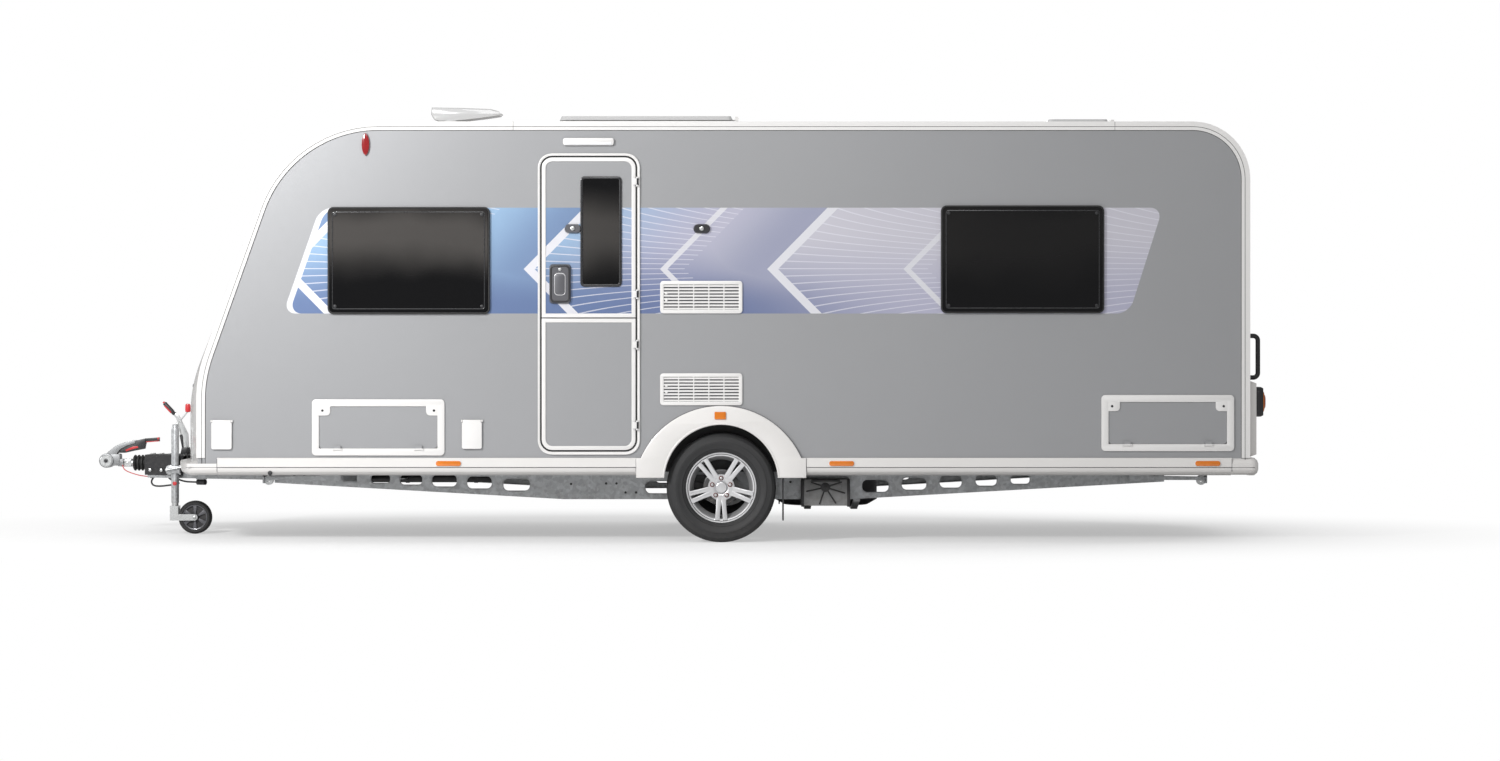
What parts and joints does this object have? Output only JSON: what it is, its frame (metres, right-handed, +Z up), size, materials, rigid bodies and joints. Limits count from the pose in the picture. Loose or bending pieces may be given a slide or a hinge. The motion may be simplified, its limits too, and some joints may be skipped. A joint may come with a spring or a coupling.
{
  "type": "travel caravan",
  "caption": "Single-axle travel caravan with bowed front, stable door, jockey wheel, overrun coupling and corner steadies.",
  "frame": {"origin": "bottom centre of the caravan's box, on the ground", "axes": "+X to the rear (coupling at -X), -Y is the near side with the entrance door, +Z up"},
  "size_m": [7.251, 2.468, 2.667],
  "materials": {
    "shell_silver": "silver-grey gloss",
    "shell_white": "white gloss",
    "moulding_silver": "pale silver satin",
    "trim_white": "white satin",
    "floor_board": "dark sealed board",
    "window_dark": "dark acrylic",
    "rooflight_clear": "smoked acrylic",
    "galvanised": "spangled zinc",
    "axle_black": "black paint",
    "casting_silver": "cast, bead-blasted",
    "rim_silver": "painted alloy",
    "tyre": "rubber",
    "black_plastic": "moulded black",
    "rubber_black": "rubber",
    "cord_red": "red sheath",
    "lamp_lens": "amber and red lenses"
  },
  "bodies": {
    "caravan": {"side_wall_near": "shell_silver", "side_wall_far": "shell_silver", "front_panel": "shell_white", "roof_panel": "shell_white", "rear_panel": "shell_white", "rear_moulding": "moulding_silver", "skirts": "moulding_silver", "wheel_spats": "moulding_silver", "awning_rails": "trim_white", "door_frame": "trim_white", "hatch_frames": "trim_white", "fridge_vents": "trim_white", "rooflight_frames": "trim_white", "aerial": "trim_white", "floor": "floor_board", "gas_locker_bulkhead": "floor_board", "windows": "window_dark", "chassis_rails": "galvanised", "drawbar_near": "galvanised", "drawbar_far": "galvanised", "cross_members": "galvanised", "handbrake_lever": "galvanised", "jockey_post": "galvanised", "underfloor_unit": "galvanised", "axle": "axle_black", "coupling_head": "casting_silver", "spare_wheel": "tyre", "black_fittings": "black_plastic", "overrun_housing": "black_plastic", "coupling_handle": "black_plastic", "wheel_boxes": "black_plastic", "lead_plug": "black_plastic", "bellows": "rubber_black", "electric_lead": "rubber_black", "breakaway_cable": "cord_red", "lamps": "lamp_lens"},
    "wheel_near": {"wheel_rim_near": "rim_silver", "tyre_near": "tyre"},
    "wheel_far": {"wheel_rim_far": "rim_silver", "tyre_far": "tyre"},
    "door_upper": {"door_upper": "shell_silver", "door_window": "window_dark", "door_handle": "black_plastic"},
    "door_lower": {"door_lower": "shell_silver"},
    "locker_front": {"locker_door_front": "shell_silver"},
    "locker_rear": {"locker_door_rear": "shell_silver"},
    "service_hatch": {"service_hatch": "shell_silver"},
    "flap_front": {"inlet_flap_front": "trim_white"},
    "flap_rear": {"inlet_flap_rear": "trim_white"},
    "gas_lid": {"gas_locker_lid": "shell_white"},
    "rooflight_large": {"rooflight_lid_large": "rooflight_clear"},
    "rooflight_small": {"rooflight_lid_small": "rooflight_clear"},
    "steady_front_near": {"steady_front_near": "galvanised"},
    "steady_front_far": {"steady_front_far": "galvanised"},
    "steady_rear_near": {"steady_rear_near": "galvanised"},
    "steady_rear_far": {"steady_rear_far": "galvanised"},
    "jockey_tube": {"jockey_tube": "galvanised"},
    "jockey_fork": {"jockey_fork": "galvanised"},
    "jockey_wheel": {"jockey_wheel": "black_plastic"}
  },
  "joints": [
    {"name": "wheel_near_spin", "type": "hinge", "parent": "caravan", "child": "wheel_near", "pos_m": [0.369, -1.075, 0.327], "axis": [0, 1, 0], "continuous": true},
    {"name": "wheel_far_spin", "type": "hinge", "parent": "caravan", "child": "wheel_far", "pos_m": [0.369, 1.075, 0.327], "axis": [0, 1, 0], "continuous": true},
    {"name": "door_upper_swing", "type": "hinge", "parent": "caravan", "child": "door_upper", "pos_m": [-0.13, -1.215, 1.8], "axis": [0, 0, 1], "range_deg": [0, 170]},
    {"name": "door_lower_swing", "type": "hinge", "parent": "caravan", "child": "door_lower", "pos_m": [-0.13, -1.215, 0.95], "axis": [0, 0, 1], "range_deg": [0, 170]},
    {"name": "locker_front_drop", "type": "hinge", "parent": "caravan", "child": "locker_front", "pos_m": [-1.672, -1.21, 0.557], "axis": [1, 0, 0], "range_deg": [0, 100]},
    {"name": "locker_rear_drop", "type": "hinge", "parent": "caravan", "child": "locker_rear", "pos_m": [3.028, -1.21, 0.583], "axis": [1, 0, 0], "range_deg": [0, 100]},
    {"name": "service_hatch_swing", "type": "hinge", "parent": "caravan", "child": "service_hatch", "pos_m": [2.694, 1.21, 0.73], "axis": [0, 0, 1], "range_deg": [0, 150]},
    {"name": "flap_front_lift", "type": "hinge", "parent": "caravan", "child": "flap_front", "pos_m": [-2.6035, -1.206, 0.725], "axis": [-1, 0, 0], "range_deg": [0, 110]},
    {"name": "flap_rear_lift", "type": "hinge", "parent": "caravan", "child": "flap_rear", "pos_m": [-1.114, -1.206, 0.727], "axis": [-1, 0, 0], "range_deg": [0, 110]},
    {"name": "gas_lid_lift", "type": "hinge", "parent": "caravan", "child": "gas_lid", "pos_m": [-2.76497, 0, 1.42644], "axis": [0, 1, 0], "range_deg": [0, 75]},
    {"name": "rooflight_large_lift", "type": "hinge", "parent": "caravan", "child": "rooflight_large", "pos_m": [0.442, 0, 2.608], "axis": [0, 1, 0], "range_deg": [0, 50]},
    {"name": "rooflight_small_lift", "type": "hinge", "parent": "caravan", "child": "rooflight_small", "pos_m": [2.822, 0, 2.608], "axis": [0, 1, 0], "range_deg": [0, 50]},
    {"name": "steady_front_near_drop", "type": "hinge", "parent": "caravan", "child": "steady_front_near", "pos_m": [-1.96, -0.95, 0.38], "axis": [0, -1, 0], "range_deg": [0, 55]},
    {"name": "steady_front_far_drop", "type": "hinge", "parent": "caravan", "child": "steady_front_far", "pos_m": [-1.96, 0.95, 0.38], "axis": [0, -1, 0], "range_deg": [0, 55]},
    {"name": "steady_rear_near_drop", "type": "hinge", "parent": "caravan", "child": "steady_rear_near", "pos_m": [2.86, -0.95, 0.38], "axis": [0, 1, 0], "range_deg": [0, 55]},
    {"name": "steady_rear_far_drop", "type": "hinge", "parent": "caravan", "child": "steady_rear_far", "pos_m": [2.86, 0.95, 0.38], "axis": [0, 1, 0], "range_deg": [0, 55]},
    {"name": "jockey_slide", "type": "slide", "parent": "caravan", "child": "jockey_tube", "axis": [0, 0, -1], "range_m": [0, 0.2]},
    {"name": "jockey_swivel", "type": "hinge", "parent": "jockey_tube", "child": "jockey_fork", "pos_m": [-3.087, -0.2379, 0.18], "axis": [0, 0, 1], "continuous": true},
    {"name": "jockey_wheel_spin", "type": "hinge", "parent": "jockey_fork", "child": "jockey_wheel", "pos_m": [-2.959, -0.2379, 0.105], "axis": [0, 1, 0], "continuous": true}
  ]
}
